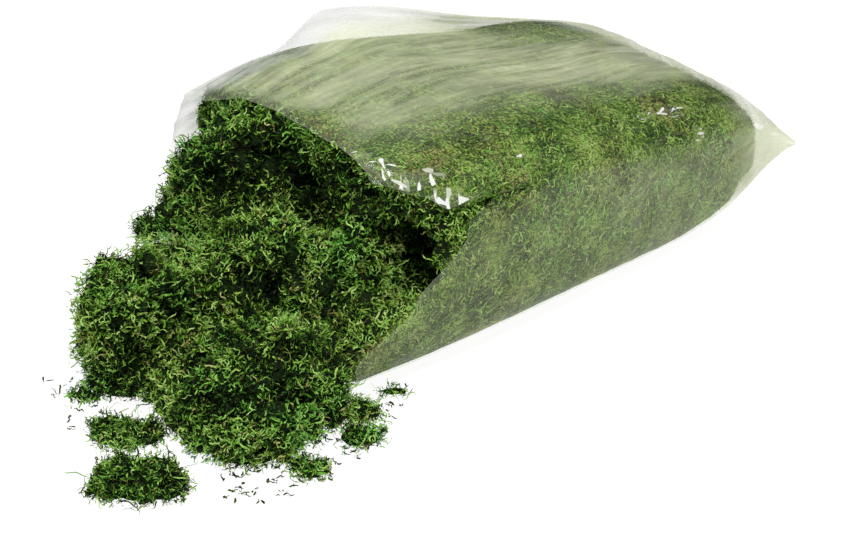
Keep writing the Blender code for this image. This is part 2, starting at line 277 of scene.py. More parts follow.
# Colours of fronds by tone; the dark end also serves as painted shade and the light end as painted highlight
EMERALD = (
    (0.0, (0.001, 0.005, 0.001)), (0.28, (0.008, 0.042, 0.004)), (0.52, (0.036, 0.16, 0.014)),
    (0.76, (0.096, 0.345, 0.038)), (1.0, (0.2, 0.48, 0.095)),
)
YELLOW_GREEN = (
    (0.0, (0.002, 0.006, 0.001)), (0.28, (0.019, 0.045, 0.003)), (0.52, (0.086, 0.185, 0.014)),
    (0.76, (0.22, 0.385, 0.044)), (1.0, (0.37, 0.52, 0.135)),
)
BROWN = (
    (0.0, (0.005, 0.004, 0.001)), (0.45, (0.07, 0.056, 0.014)), (0.75, (0.2, 0.17, 0.046)),
    (1.0, (0.4, 0.36, 0.14)),
)

# Colours of the cores by how the fibre noise runs, near black for the stems partly as painted shade, and
# where the moss in the bag is brown
STEMS = ((0.35, (0.002, 0.004, 0.001)), (0.55, (0.009, 0.022, 0.004)), (0.72, (0.03, 0.06, 0.012)))
FELT_GREEN = ((0.4, (0.006, 0.02, 0.002)), (0.5, (0.06, 0.12, 0.014)), (0.6, (0.26, 0.36, 0.08)))
FELT_BROWN = ((0.4, (0.018, 0.016, 0.004)), (0.5, (0.1, 0.09, 0.022)), (0.6, (0.3, 0.27, 0.09)))
BROWN_PATCHES = ((0.50, (0.0, 0.0, 0.0)), (0.72, (0.8, 0.8, 0.8)))
# Painted shade, near black, on the bare moss in the bag
BARE_PAINTED_SHADE = (0.004, 0.010, 0.002, 1.0)

# Colours of the film's haze, over the moss and where the film is pale, and of its painted glints
HAZE_COLOUR = (0.93, 0.98, 0.66, 1.0)
PALE_COLOUR = (0.97, 0.98, 0.93, 1.0)
WHITE = (1.0, 1.0, 1.0, 1.0)


def smooth(start, full, value):
    """0 at start, 1 at full, and an even S between. It falls where start is above full."""
    share = np.clip((value - start) / (full - start), 0.0, 1.0)
    return share * share * (3 - 2 * share)


def bell(value, middle, spread):
    """1 at the middle, falling away on both sides."""
    return np.exp(-((value - middle) / spread) ** 2)


def hashed(cells, seed):
    """A number from -1 to 1 for each whole-number cell. The large numbers only stir the bits."""
    mixed = cells[..., 0] * 73856093 ^ cells[..., 1] * 19349663 ^ cells[..., 2] * 83492791 ^ seed * 26544357
    mixed = (mixed ^ (mixed >> 13)) * 1274126177
    return ((mixed ^ (mixed >> 16)) & 0xFFFF) / 32767.5 - 1


def value_noise(points, seed):
    """Smooth noise from -1 to 1 with one lump per unit."""
    cells = np.floor(points).astype(np.int64)
    part = points - cells
    part = part * part * (3 - 2 * part)
    total = np.zeros(points.shape[:-1])
    for corner in range(8):
        step = np.array([corner & 1, corner >> 1 & 1, corner >> 2 & 1])
        weight = np.prod(np.where(step, part, 1 - part), axis=-1)
        total += weight * hashed(cells + step, seed)
    return total


def rough_noise(points, size, seed, layers=3):
    """Noise with lumps of that size in metres and smaller ones on them."""
    total, strength = np.zeros(points.shape[:-1]), 1.0
    for layer in range(layers):
        total += strength * value_noise(points / size * 2 ** layer, seed + layer)
        strength *= 0.5
    return total / 1.4


def grid_noise(first, second, layer, seed):
    """Smooth noise over two values of the film's grid."""
    return value_noise(np.stack([first, second, np.full_like(first, layer)], axis=-1), seed)


def unit(vectors):
    return vectors / np.maximum(np.linalg.norm(vectors, axis=-1, keepdims=True), 1e-9)


def make_object(name, points, faces, material, attributes=None, smooth_shaded=False):
    """A mesh object from arrays. Every face has as many corners as the array has columns."""
    mesh = bpy.data.meshes.new(name)
    mesh.vertices.add(len(points))
    mesh.vertices.foreach_set("co", points.astype(np.float32).ravel())
    mesh.loops.add(faces.size)
    mesh.loops.foreach_set("vertex_index", faces.astype(np.int32).ravel())
    mesh.polygons.add(len(faces))
    mesh.polygons.foreach_set("loop_start", np.arange(0, faces.size, faces.shape[1], dtype=np.int32))
    mesh.update(calc_edges=True)
    mesh.polygons.foreach_set("use_smooth", np.full(len(faces), smooth_shaded))
    for key, values in (attributes or {}).items():
        set_attribute(mesh, key, values)
    mesh.materials.append(material)
    return link_mesh(name, mesh)


def set_attribute(mesh, key, values):
    mesh.attributes.new(key, "FLOAT", "POINT").data.foreach_set("value", values.astype(np.float32))


def link_mesh(name, mesh):
    obj = bpy.data.objects.new(name, mesh)
    bpy.context.scene.collection.objects.link(obj)
    return obj


def station(x):
    """Near side, far side, top and underside of the bag at x, on a smooth curve through the stations."""
    x = np.clip(x, STATIONS[0, 0], SEAM_X)
    index = np.clip(np.searchsorted(STATIONS[:, 0], x), 1, len(STATIONS) - 1)
    before, low = STATIONS[np.maximum(index - 2, 0)], STATIONS[index - 1]
    high, after = STATIONS[index], STATIONS[np.minimum(index + 1, len(STATIONS) - 1)]
    width = (high - low)[..., :1]
    t = (x[..., None] - low[..., :1]) / width
    slope_low = (high - before) / (high - before)[..., :1] * width
    slope_high = (after - low) / (after - low)[..., :1] * width
    curve = (
        (2 * t ** 3 - 3 * t ** 2 + 1) * low + (t ** 3 - 2 * t ** 2 + t) * slope_low
        + (3 * t ** 2 - 2 * t ** 3) * high + (t ** 3 - t ** 2) * slope_high
    )
    return curve[..., 1], curve[..., 2], curve[..., 3], curve[..., 4]


def signed_power(value, power):
    return np.sign(value) * np.abs(value) ** power


def film_point(x, column):
    """Where the film is at x, in a column of points that lies at this angle in the mouth."""
    lean = SLIT_LEAN * np.clip((x - SLIT_X[0]) / (SLIT_X[1] - SLIT_X[0]), 0.0, 1.0)
    degrees = column - lean * bell(column, SLIT_ANGLE, SLIT_SPREAD)
    near, far, top, under = station(x)
    angle = np.radians(degrees)
    y = (near + far) / 2 + (far - near) / 2 * signed_power(np.cos(angle), 2 / SECTION_POWER)
    z = (top + under) / 2 + (top - under) / 2 * signed_power(np.sin(angle), 2 / SECTION_POWER)
    along = smooth(*FOLD_RISE_X, x) * (1 - smooth(*FOLD_FALL_X, x))
    rise = FOLD_HEIGHT * along * bell(degrees, FOLD_ANGLE, FOLD_SPREAD)
    tilt = math.radians(FOLD_ANGLE)
    return np.stack([x, y + math.cos(tilt) * rise, np.maximum(z, 0.0) + math.sin(tilt) * rise], axis=-1)


def cut_x(degrees):
    """The x of the film's cut edge at that angle."""
    angles, places = zip(*CUT_EDGE)
    return np.interp(degrees, angles, places)


def place_in_bag(points, inset):
    """How far out each point is in the bag's section, with the film at 1, and its angle round the section."""
    near, far, top, under = station(points[..., 0])
    across = (points[..., 1] - (near + far) / 2) / ((far - near) / 2 - inset)
    above = (points[..., 2] - (top + under) / 2) / ((top - under) / 2 - inset)
    reach = (np.abs(across) ** SECTION_POWER + np.abs(above) ** SECTION_POWER) ** (1 / SECTION_POWER)
    back = SECTION_POWER / 2
    degrees = np.degrees(np.arctan2(signed_power(above, back), signed_power(across, back))) % 360
    return reach, degrees


def keep_in_film(points, inset):
    """Moves points that would poke through the film back inside it."""
    reach, degrees = place_in_bag(points, inset)
    near, far, top, under = station(points[..., 0])
    covered = (points[..., 0] > cut_x(degrees) - 0.004) & (reach > 1) & (reach < 1.35)
    scale = np.where(covered, 1 / np.maximum(reach, 1e-6), 1.0)
    kept = points.copy()
    for axis, middle in ((1, (near + far) / 2), (2, (top + under) / 2)):
        kept[..., axis] = middle + (points[..., axis] - middle) * scale
    return kept


def new_material(name):
    material = bpy.data.materials.new(name)
    material.use_nodes = True
    material.node_tree.nodes.clear()
    return material, material.node_tree


def feed(tree, socket, value):
    """Sets a socket to a plain value, or links it to an output of another node."""
    if isinstance(value, bpy.types.NodeSocket):
        tree.links.new(value, socket)
    else:
        socket.default_value = value


def add(tree, kind, **inputs):
    """A shader node with its inputs set by name, or by number as i0, i1 and so on."""
    node = tree.nodes.new("ShaderNode" + kind)
    for key, value in inputs.items():
        numbered = key[0] == "i" and key[1:].isdigit()
        feed(tree, node.inputs[int(key[1:]) if numbered else key.replace("_", " ")], value)
    return node


def out(tree, kind, **inputs):
    """The first output of such a node."""
    return add(tree, kind, **inputs).outputs[0]


def ramp(tree, fac, stops):
    node = add(tree, "ValToRGB", Fac=fac)
    elements = node.color_ramp.elements
    while len(elements) < len(stops):
        elements.new(0.5)
    for element, (place, colour) in zip(elements, stops):
        element.position = place
        element.color = (*colour, 1.0)
    return node.outputs["Color"]


def maths(tree, operation, first, second, clamp=False):
    node = add(tree, "Math", i0=first, i1=second)
    node.operation = operation
    node.use_clamp = clamp
    return node.outputs["Value"]


def plus(tree, first, second, clamp=False):
    return maths(tree, "ADD", first, second, clamp)


def minus(tree, first, second, clamp=False):
    return maths(tree, "SUBTRACT", first, second, clamp)


def times(tree, first, second, clamp=False):
    return maths(tree, "MULTIPLY", first, second, clamp)


def mix_colour(tree, fac, first, second):
    """The first colour where fac is 0, the second where it is 1."""
    node = add(tree, "Mix")
    node.data_type = "RGBA"
    for index, value in ((0, fac), (6, first), (7, second)):
        feed(tree, node.inputs[index], value)
    return node.outputs[2]


def mix_value(tree, fac, first, second):
    """The first value where fac is 0, the second where it is 1."""
    return plus(tree, first, times(tree, minus(tree, second, first), fac))


def attribute(tree, name):
    node = add(tree, "Attribute")
    node.attribute_name = name
    return node.outputs["Fac"]


def stretched_noise(tree, scale, size, detail=3.0, turn=(0.0, 0.0, 0.0)):
    """Noise over the object's own coordinates, stretched by scale along each axis."""
    place = add(tree, "TexCoord").outputs["Object"]
    mapped = out(tree, "Mapping", Vector=place, Scale=scale, Rotation=turn)
    return out(tree, "TexNoise", Vector=mapped, Scale=size, Detail=detail)


def surface(tree, colour, roughness, specular, **more):
    """Ends a material with a plain surface of that colour."""
    finish = {"Roughness": roughness, "Specular IOR Level": specular}
    add(tree, "OutputMaterial", Surface=out(tree, "BsdfPrincipled", Base_Color=colour, **finish, **more))


def frond_material():
    """Fronds. Tone goes from dark to light and holds painted light and shade besides the fronds' own tones,
    and warmth goes from emerald over yellow-green to brown.
    """
    made, tree = new_material("moss_fronds")
    tone = attribute(tree, "tone")
    twice = times(tree, attribute(tree, "warmth"), 2.0)
    to_yellow = times(tree, twice, 1.0, clamp=True)
    green = mix_colour(tree, to_yellow, ramp(tree, tone, EMERALD), ramp(tree, tone, YELLOW_GREEN))
    colour = mix_colour(tree, minus(tree, twice, 1.0, clamp=True), green, ramp(tree, tone, BROWN))
    surface(tree, colour, 0.6, 0.12)
    return made


def core_material():
    """What shows deep between the fronds: tangled stems, dark of their own and darker still as painted shade.
    """
    made, tree = new_material("moss_core")
    fibres = stretched_noise(tree, (1.0, 1.0, 1.6), 420.0, 4.0)
    bump = out(tree, "Bump", Strength=0.9, Distance=0.002, Height=fibres)
    surface(tree, ramp(tree, fibres, STEMS), 0.95, 0.1, Normal=bump)
    return made


def packed_material():
    """Moss pressed against the film: a felt of fine green and some brown fibres, with near black painted
    shade where it is bare.
    """
    made, tree = new_material("packed_moss_felt")
    fibres = stretched_noise(tree, (1.0, 2.8, 2.8), 330.0, 5.0, (0.3, 0.2, 0.5))
    cross = stretched_noise(tree, (2.8, 1.0, 1.2), 330.0, 5.0, (0.9, 0.5, 0.1))
    patches = stretched_noise(tree, (1.0, 1.0, 1.0), 24.0)
    clouds = stretched_noise(tree, (1.0, 1.0, 1.0), 36.0)
    both = times(tree, plus(tree, fibres, cross), 0.5)
    both = plus(tree, both, times(tree, minus(tree, clouds, 0.5), 0.40))
    brown_share = ramp(tree, patches, BROWN_PATCHES)
    colour = mix_colour(tree, brown_share, ramp(tree, both, FELT_GREEN), ramp(tree, both, FELT_BROWN))
    colour = mix_colour(tree, times(tree, attribute(tree, "bare"), 0.97), colour, BARE_PAINTED_SHADE)
    bump = out(tree, "Bump", Strength=0.8, Distance=0.0015, Height=both)
    surface(tree, colour, 0.9, 0.15, Normal=bump)
    return made


def film_place(tree, along, across, seed=0.0, slant=0.0):
    """A place on the film by length and girth, in lumps per metre, with the length slanted by the girth."""
    length = plus(tree, attribute(tree, "along"), times(tree, attribute(tree, "across"), slant))
    girth = times(tree, attribute(tree, "across"), across)
    return out(tree, "CombineXYZ", X=times(tree, length, along), Y=girth, Z=seed)


def film_noise(tree, along, across, detail=3.0, seed=0.0, slant=0.0):
    where = film_place(tree, along, across, seed, slant)
    return out(tree, "TexNoise", Vector=where, Scale=1.0, Detail=detail)


def thin_lines(tree, noise, sharpness):
    """Thin bright lines where the noise crosses its middle."""
    away = maths(tree, "ABSOLUTE", minus(tree, noise, 0.5), 0.0)
    return minus(tree, 1.0, times(tree, away, sharpness), clamp=True)


def film_facets(tree, along, across, slant):
    """A random brightness for each small long facet of crumpled film, for painted reflections and glints."""
    where = film_place(tree, along, across, 0.0, slant)
    bent = add(tree, "TexNoise", Vector=where, Scale=0.5, Detail=1.0).outputs["Color"]
    offset = add(tree, "VectorMath", i0=bent, i1=(1.6, 1.6, 0.0))
    offset.operation = "MULTIPLY"
    moved = out(tree, "VectorMath", i0=where, i1=offset.outputs["Vector"])
    cells = add(tree, "TexVoronoi", Vector=moved, Scale=1.0)
    return out(tree, "SeparateColor", Color=cells.outputs["Color"])


def film_streaks(tree):
    """Soft streaks that run along the top of the bag and round its near side."""
    lengthwise = film_noise(tree, 16.0, 110.0, 7.0)
    crosswise = film_noise(tree, 75.0, 16.0, 5.0, seed=11.0, slant=0.5)
    return mix_value(tree, attribute(tree, "side"), lengthwise, crosswise)


def film_creases(tree):
    """Thin crease lines, some along the bag and some slanted, that come and go: painted highlights on
    creases.
    """
    straight = thin_lines(tree, film_noise(tree, 5.0, 110.0, 2.0, seed=9.0), 26.0)
    slanted = thin_lines(tree, film_noise(tree, 20.0, 34.0, seed=5.0, slant=-0.9), 34.0)
    here = times(tree, film_noise(tree, 16.0, 22.0, 2.0, seed=7.0), 1.7)
    return times(tree, plus(tree, straight, slanted), here)


def film_material():
    """Clear film: see-through with a pale haze, long soft streaks, thin creases with painted highlights and
    small glints painted white.
    """
    made, tree = new_material("clear_film")
    streaks = film_streaks(tree)
    broad = film_noise(tree, 7.0, 24.0, seed=4.0)
    fine = film_noise(tree, 60.0, 330.0, 2.0, seed=2.0)
    veil = plus(tree, times(tree, streaks, 2.0), times(tree, broad, 1.6))
    veil = maths(tree, "MAXIMUM", minus(tree, veil, 0.8), 0.0)
    milky = attribute(tree, "haze")
    # The crease lines go into the haze as painted highlights
    creases = times(tree, film_creases(tree), plus(tree, times(tree, milky, 0.14), 0.045))
    haze = plus(tree, times(tree, milky, veil), creases)

    slivers, flakes = film_facets(tree, 310.0, 95.0, 0.5), film_facets(tree, 240.0, 150.0, -0.7)
    facets = maths(tree, "MAXIMUM", slivers, flakes)
    crumpled = minus(tree, attribute(tree, "crumple"), 0.25, clamp=True)
    crumpled = times(tree, crumpled, 9.0, clamp=True)
    # Crumpled places: painted grey reflections facet by facet, and painted white glints on the brightest
    # facets
    haze = plus(tree, haze, times(tree, times(tree, crumpled, facets), 0.12))
    painted_glint = times(tree, minus(tree, facets, 0.85, clamp=True), 14.0, clamp=True)
    painted_glint = times(tree, painted_glint, crumpled)
    alpha = plus(tree, haze, painted_glint, clamp=True)

    height = plus(tree, times(tree, streaks, 0.8), times(tree, fine, 0.25))
    bump = out(tree, "Bump", Strength=0.4, Distance=0.0016, Height=height)
    tinted = mix_colour(tree, attribute(tree, "pale"), HAZE_COLOUR, PALE_COLOUR)
    colour = mix_colour(tree, painted_glint, tinted, WHITE)
    front = out(tree, "BsdfDiffuse", Color=colour, Normal=bump)
    through = out(tree, "BsdfTranslucent", Color=colour, Normal=bump)
    milk = out(tree, "MixShader", i0=0.35, i1=front, i2=through)
    veiled = out(tree, "MixShader", i0=alpha, i1=out(tree, "BsdfTransparent"), i2=milk)
    gloss = out(tree, "BsdfGlossy", Color=WHITE, Roughness=0.12, Normal=bump)
    edge_on = add(tree, "LayerWeight", Blend=0.5, Normal=bump).outputs["Facing"]
    share = plus(tree, times(tree, maths(tree, "POWER", edge_on, 4.0), 0.22), 0.018)
    add(tree, "OutputMaterial", Surface=out(tree, "MixShader", i0=share, i1=veiled, i2=gloss))
    return made


def arrays_of(mesh):
    """Vertex places, vertex normals and triangles of a mesh, as arrays."""
    count = len(mesh.vertices)
    points, normals = np.empty(count * 3), np.empty(count * 3)
    mesh.vertices.foreach_get("co", points)
    mesh.vertices.foreach_get("normal", normals)
    mesh.calc_loop_triangles()
    triangles = np.empty(len(mesh.loop_triangles) * 3, np.int32)
    mesh.loop_triangles.foreach_get("vertices", triangles)
    return points.reshape(-1, 3), normals.reshape(-1, 3), triangles.reshape(-1, 3)


def tree_of(names, frame):
    """One search tree over several solids."""
    points, triangles, start = [], [], 0
    for name in names:
        part, _, faces = arrays_of(frame["nodes"][name].data)
        points.append(part)
        triangles.append(faces + start)
        start += len(part)
    return BVHTree.FromPolygons(np.concatenate(points).tolist(), np.concatenate(triangles).tolist())


def distance_to(tree, points, reach):
    """How far each point is from what the tree holds, up to reach."""
    found = (tree.find_nearest(Vector(point), reach)[3] for point in points)
    return np.array([reach if away is None else away for away in found])


def even_mesh(node, voxel):
    """The solid's surface as an even mesh."""
    copy = link_mesh("even", node.data.copy())
    remesh = copy.modifiers.new("even", "REMESH")
    remesh.mode = "VOXEL"
    remesh.voxel_size = voxel
    graph = bpy.context.evaluated_depsgraph_get()
    even = bpy.data.meshes.new_from_object(copy.evaluated_get(graph))
    bpy.data.objects.remove(copy)
    return even


def core_object(name, mesh, places, least_z, material):
    """A core: the even mesh with its points at these places, none of them lower than least_z."""
    places[:, 2] = np.maximum(places[:, 2], least_z)
    mesh.vertices.foreach_set("co", places.astype(np.float32).ravel())
    mesh.update()
    for polygon in mesh.polygons:
        polygon.use_smooth = True
    mesh.materials.clear()
    mesh.materials.append(material)
    core = link_mesh(name, mesh)
    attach(core, "root")


def triangle_areas(places, triangles):
    corners = places[triangles]
    return np.linalg.norm(np.cross(corners[:, 1] - corners[:, 0], corners[:, 2] - corners[:, 0]), axis=1) / 2


def sample(core, weights, count, sprig, rng):
    """Random roots on a core, spread by weight: place, normal and triangle, each given sprig times."""
    points, normals, triangles = core
    chosen = rng.choice(len(triangles), count, p=weights / weights.sum())
    u, v = rng.random((2, count))
    over = u + v > 1
    u[over], v[over] = 1 - u[over], 1 - v[over]
    corners = triangles[chosen]
    shares = np.stack([1 - u - v, u, v], axis=1)[..., None]
    found = (points[corners] * shares).sum(axis=1), unit((normals[corners] * shares).sum(axis=1)), chosen
    return [np.repeat(part, sprig, axis=0) for part in found]


def turned(vectors, axes, angles):
    """The vectors turned about unit axes."""
    cosine, sine = np.cos(angles)[:, None], np.sin(angles)[:, None]
    along = (vectors * axes).sum(axis=1, keepdims=True)
    return vectors * cosine + np.cross(axes, vectors) * sine + axes * along * (1 - cosine)


def frond_strips(roots, outwards, rng, lengths, widths, lift, curl, rings, sprig=SPRIG):
    """Curled fronds as pointed strips: places by frond and point, the share along each, and heights."""
    count = len(roots)
    shared = np.repeat(rng.normal(size=(count // sprig + 1, 3)), sprig, axis=0)[:count]
    heading = unit(np.cross(outwards, shared + SPRIG_SPREAD * rng.normal(size=(count, 3))))
    place = roots + unit(np.cross(outwards, shared)) * (np.arange(count) % sprig)[:, None] * SPRIG_STEP
    heading = unit(heading + outwards * lift[:, None])
    flat_curl = rng.uniform(0.2, 1.0, (count, 1)) * rng.choice([-1.0, 1.0], (count, 1))
    axis = unit(outwards * flat_curl + AXIS_SPREAD * unit(rng.normal(size=(count, 3))))
    facing = unit(outwards + FACE_SPREAD * rng.normal(size=(count, 3)))
    phase = rng.uniform(0, 2 * math.pi, count)
    steps = rings + 1
    rows, shares = [place], [0.0]
    for step in range(steps):
        bend = np.cos(phase + SWING * (step + 0.5) / steps)
        heading = turned(heading, axis, BEND * curl / steps * bend * rng.uniform(0.6, 1.4, count))
        heading = unit(heading + CRINKLE * rng.normal(size=(count, 3)))
        place = place + heading * (lengths / steps)[:, None]
        if step == rings:
            rows.append(place)
            shares.append(1.0)
            continue
        share = (step + 1) / steps
        side = unit(np.cross(heading, facing)) * (widths / 2 * rng.uniform(0.75, 1.25, count))[:, None]
        rows += [place - side, place + side]
        shares += [share, share]
    points = np.stack(rows, axis=1)
    heights = ((points - roots[:, None]) * outwards[:, None]).sum(axis=-1)
    return points, np.array(shares), heights


def strip_faces(rings):
    """Triangles of one strip: a point, pairs of points, and a point."""
    faces = [(0, 2, 1), (2 * rings - 1, 2 * rings, 2 * rings + 1)]
    for ring in range(rings - 1):
        low = 1 + 2 * ring
        faces += [(low, low + 1, low + 3), (low, low + 3, low + 2)]
    return np.array(faces)


def join_fronds(batches):
    """Joins batches of (points, faces of one frond, tone, warmth) into arrays for one mesh."""
    points, faces, tones, warmths, start = [], [], [], [], 0
    for shapes, pattern, tone, warmth in batches:
        count, per = shapes.shape[:2]
        offsets = start + np.arange(count)[:, None, None] * per
        points.append(shapes.reshape(-1, 3))
        faces.append((pattern[None] + offsets).reshape(-1, 3))
        tones.append(np.clip(tone, 0, 1).reshape(-1))
        warmths.append(np.broadcast_to(warmth, tone.shape).reshape(-1))
        start += count * per
    return [np.concatenate(part) for part in (points, faces, tones, warmths)]


def frond_object(name, batches, material):
    points, faces, tones, warmths = join_fronds(batches)
    made = make_object(name, points, faces, material, {"tone": tones, "warmth": warmths})
    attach(made, "root")
    return made, len(faces)


def frond_warmth(rng, places, seed, sprig=SPRIG):
    """Warmth of each frond: patches of emerald and of yellow-green, and sprigs that have gone brown."""
    count = len(places)
    patch = rough_noise(places, 0.040, seed)
    aged_share = 0.07 + 0.20 * np.clip(rough_noise(places, 0.03, seed + 9), 0, 1)
    aged = np.repeat(rng.random(count // sprig + 1), sprig)[:count] < aged_share
    warmth = 0.36 + 0.30 * patch + 0.10 * rng.normal(size=count)
    return np.where(aged, rng.uniform(0.66, 1.0, count), np.clip(warmth, 0.0, 0.55))[:, None]


def how_lit(heights, level):
    """How far each point of a frond is in the light, from its height over the core: painted light and shade.
    """
    return np.clip((heights + level[:, None]) / LIT_HEIGHT, *LIT_RANGE)


def add_hollows(depth, points, share=1.0):
    """Draws the surface further in where the dark hollows are."""
    for x, y, z, radius in DARK_HOLLOWS:
        away = np.linalg.norm(points - (x, y, z), axis=1)
        depth += share * 0.9 * radius * (1 - smooth(0.3 * radius, 1.1 * radius, away))


def clump_depth(points, others):
    """How far the core is drawn in, deeper between tufts and in the dark hollows, and its creases."""
    broad = rough_noise(points, 0.052, 3, 2)
    tufts = np.abs(rough_noise(points + 0.007 * rough_noise(points, 0.02, 8)[:, None], 0.034, 9, 2))
    fine = np.abs(rough_noise(points, 0.011, 15, 2))
    crease = 1 - smooth(0.001, 0.009, distance_to(others, points, NEAR_REACH))
    depth = LEAST_DEPTH + BROAD_HOLLOW * np.clip(0.12 - broad, 0, 1)
    depth += TUFT_HOLLOW * (1 - smooth(0.0, 0.36, tufts))
    depth += SMALL_HOLLOW * (1 - smooth(0.0, 0.4, fine))
    depth = depth * (1 - 0.75 * crease) - 0.0025 * crease
    add_hollows(depth, points)
    return depth, crease


def clump_core(name, frame, others, material):
    """The core of one clump or tuft, with how deep its points are sunk and how far they are in a crease."""
    small = name in TUFTS
    mesh = even_mesh(frame["nodes"][name], TUFT_VOXEL if small else CLUMP_VOXEL)
    points, normals, _ = arrays_of(mesh)
    low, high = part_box(name)
    reach = min(1.0, min(high - low) / FULL_DEPTH_SIZE) * (0.8 if small else 1.0)
    depth, crease = clump_depth(points, others)
    if small:
        depth += 0.006 * np.clip(0.4 + rough_noise(points, 0.016, 52, 2), 0, 1)
    by_floor = 0.25 + 0.75 * smooth(0.0, 0.010, points[:, 2])
    places = points - normals * (depth * reach * by_floor)[:, None]
    core_object(name + "_core", mesh, places, CORE_LEAST_Z, material)
    return mesh, depth * reach, crease


def growth(core, sunk, crease):
    """How many fronds each triangle of a core gets: fewer underneath, behind, deep down and in creases."""
    places, normals, triangles = core
    facing = normals[triangles].mean(axis=1)
    middle = places[triangles].mean(axis=1)
    under = (1 - smooth(-0.75, -0.25, facing[:, 2])) * (1 - smooth(0.012, 0.03, middle[:, 2]))
    behind = smooth(0.3, 0.9, 0.64 * facing[:, 1] + 0.55 * facing[:, 0])
    weights = triangle_areas(places, triangles) * (1 - 0.85 * under) * (1 - 0.35 * crease)
    return weights * ((1 - 0.6 * smooth(0.5, 1.4, sunk)) * (1 - 0.4 * behind))


def make_clump(name, frame, others, materials, seed):
    """The core and the fronds that stand for one clump or tuft. Gives their number of triangles."""
    rng = np.random.default_rng(seed)
    small = name in TUFTS
    mesh, depth, crease = clump_core(name, frame, others, materials["core"])
    core = arrays_of(mesh)
    triangles = core[2]
    sunk = np.clip((depth - 0.004) / 0.012, -0.4, 1.8)[triangles].mean(axis=1)
    crease = crease[triangles].mean(axis=1)
    closed = crease ** 2
    weights = growth(core, sunk, crease)
    batches = []
    for kind in TUFT_KINDS if small else CLUMP_KINDS:
        total = max(4, int(weights.sum() * kind.per_m2) // kind.sprig)
        roots, outwards, chosen = sample(core, weights, total, kind.sprig, rng)
        count = len(roots)
        lengths = rng.uniform(*kind.lengths, count) * kind.stretch
        widths = FROND_WIDTH * rng.uniform(*WIDTH_RANGE, count) * kind.slimness
        lift = np.abs(rng.normal(*LIFT, count)) + 0.8 * (rng.random(count) < 0.05)
        curl = rng.uniform(*CURL, count)
        lump = 0.0038 * np.clip(0.35 + rough_noise(roots, 0.0085, 44, 1), 0, 1) * (0.4 if small else 1.0)
        highest = kind.raised + FROND_LEVELS * (0.5 if small else 1.0)
        level = lump + highest * rng.uniform(0, 1, count)
        starts = roots + outwards * level[:, None]
        bends = lift, curl, kind.rings, kind.sprig
        shapes, shares, heights = frond_strips(starts, outwards, rng, lengths, widths, *bends)
        shapes[..., 2] = np.maximum(shapes[..., 2], FROND_LEAST_Z)
        if not small:
            shapes = keep_in_film(shapes, CLUMP_INSET)
        tone = TONE + TONE_BY_FROND * rng.normal(size=count)
        tone += TONE_BY_SPRIG * np.repeat(rng.normal(size=total), kind.sprig)
        # Painted shade: fronds rooted deep in the core or in a crease are made darker
        tone += TONE_BY_PLACE * rough_noise(roots, 0.030, 40) - PAINTED_SHADE_DEEP * sunk[chosen]
        tone += (0.05 if small else 0.0) - PAINTED_SHADE_IN_CREASES * closed[chosen]
        # Painted light and shade: lighter the higher a point stands over the core, and a little darker at the
        # root
        tone = tone[:, None] + 0.54 * (how_lit(heights, level) - 0.64) + 0.08 * (shares[None] - 0.5)
        tone -= BRIGHT_EASED * np.maximum(tone - BRIGHT_LIMIT, 0)
        batches.append((shapes, strip_faces(kind.rings), tone, frond_warmth(rng, roots, 60, kind.sprig)))
    fronds, faces = frond_object(name + "_fronds", batches, materials["frond"])
    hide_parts(name)
    return faces + len(triangles)


def packed_core(frame, heap, material):
    """The core of the moss in the bag, with how bare, how deeply sunk and how hidden its points are."""
    mesh = even_mesh(frame["nodes"]["packed_moss"], PACK_VOXEL)
    points, normals, _ = arrays_of(mesh)
    reach, degrees = place_in_bag(points, 0.0004)
    inside = (1 - smooth(0.88, 0.95, reach)) * (points[:, 0] < 0.15)
    bare = np.maximum(inside, 1 - smooth(-0.002, 0.006, points[:, 0] - cut_x(degrees)))
    bare = np.maximum(bare, smooth(0.45, 0.8, -normals[:, 0]) * (points[:, 0] < 0.12))
    tufts = np.abs(rough_noise(points, 0.028, 9, 2))
    depth = 0.0002 + 0.0006 * np.clip(rough_noise(points, 0.03, 71) + 0.3, 0, 1.5)
    depth += bare * (0.0025 + 0.007 * (1 - smooth(0.0, 0.34, tufts)))
    add_hollows(depth, points, bare)

    near, far, top, under = station(points[:, 0])
    pressed = (1 - bare) * smooth(0.90, 0.95, reach) * (1 - smooth(0.285, 0.305, points[:, 0]))
    spread = (1 + pressed * (1 / np.maximum(reach, 0.5) - 1))[:, None]
    middle = np.column_stack([points[:, 0], (near + far) / 2, (top + under) / 2])
    places = middle + (points - middle) * np.column_stack([np.ones_like(spread), spread, spread])
    places = places - normals * depth[:, None]
    # The bare share also sets where the felt gets its painted shade
    set_attribute(mesh, "bare", bare)
    core_object("packed_moss_core", mesh, places, PACK_LEAST_Z, material)
    return mesh, bare, depth, packed_hidden(points, heap)


def packed_hidden(points, heap):
    """How far points of the moss in the bag are hidden, by the heap or low down in the mouth."""
    _, y, z = points.T
    hidden = 0.75 * (1 - smooth(0.002, 0.008, distance_to(heap, points, NEAR_REACH)))
    hidden = np.maximum(hidden, 0.95 * smooth(0.02, 0.05, y) * (1 - smooth(0.105, 0.125, z)))
    hidden = np.maximum(hidden, 0.8 * (1 - smooth(0.03, 0.06, z)) * smooth(-0.125, -0.100, y))
    away = np.linalg.norm(points - DARK_HOLLOWS[MOUTH_HOLLOW][:3], axis=1)
    return hidden * (1 - 0.8 * (1 - smooth(0.025, 0.040, away)))


